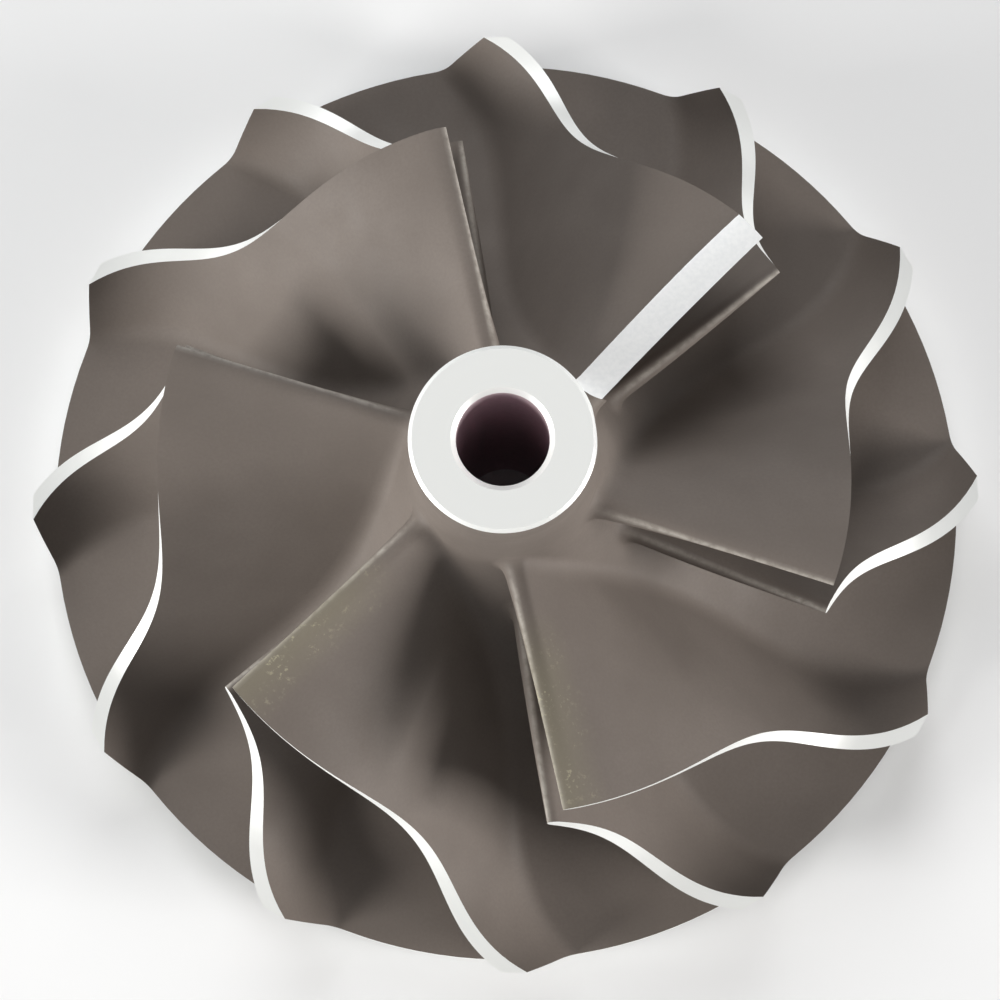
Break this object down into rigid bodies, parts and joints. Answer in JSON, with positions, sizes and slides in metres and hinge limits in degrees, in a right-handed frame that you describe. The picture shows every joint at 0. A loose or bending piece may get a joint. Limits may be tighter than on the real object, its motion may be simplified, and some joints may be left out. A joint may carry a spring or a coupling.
{
  "type": "compressor wheel",
  "caption": "Turbocharger compressor wheel with alternating full and splitter blades swept back around a flared hub, bored through for a shaft.",
  "frame": {"origin": "on the wheel's axis at the seat face of the back, which is the lowest face", "axes": "+Z along the bore from the back to the nose; +X through the nose's balance cut"},
  "size_m": [0.07, 0.07, 0.0362],
  "materials": {
    "cast_alloy": "grey-brown dulled cast skin; nose face, bore mouth, blade shroud edges, rim and balance cuts bright from turning and milling"
  },
  "bodies": {
    "root": {"compressor_wheel": "cast_alloy"}
  },
  "joints": []
}
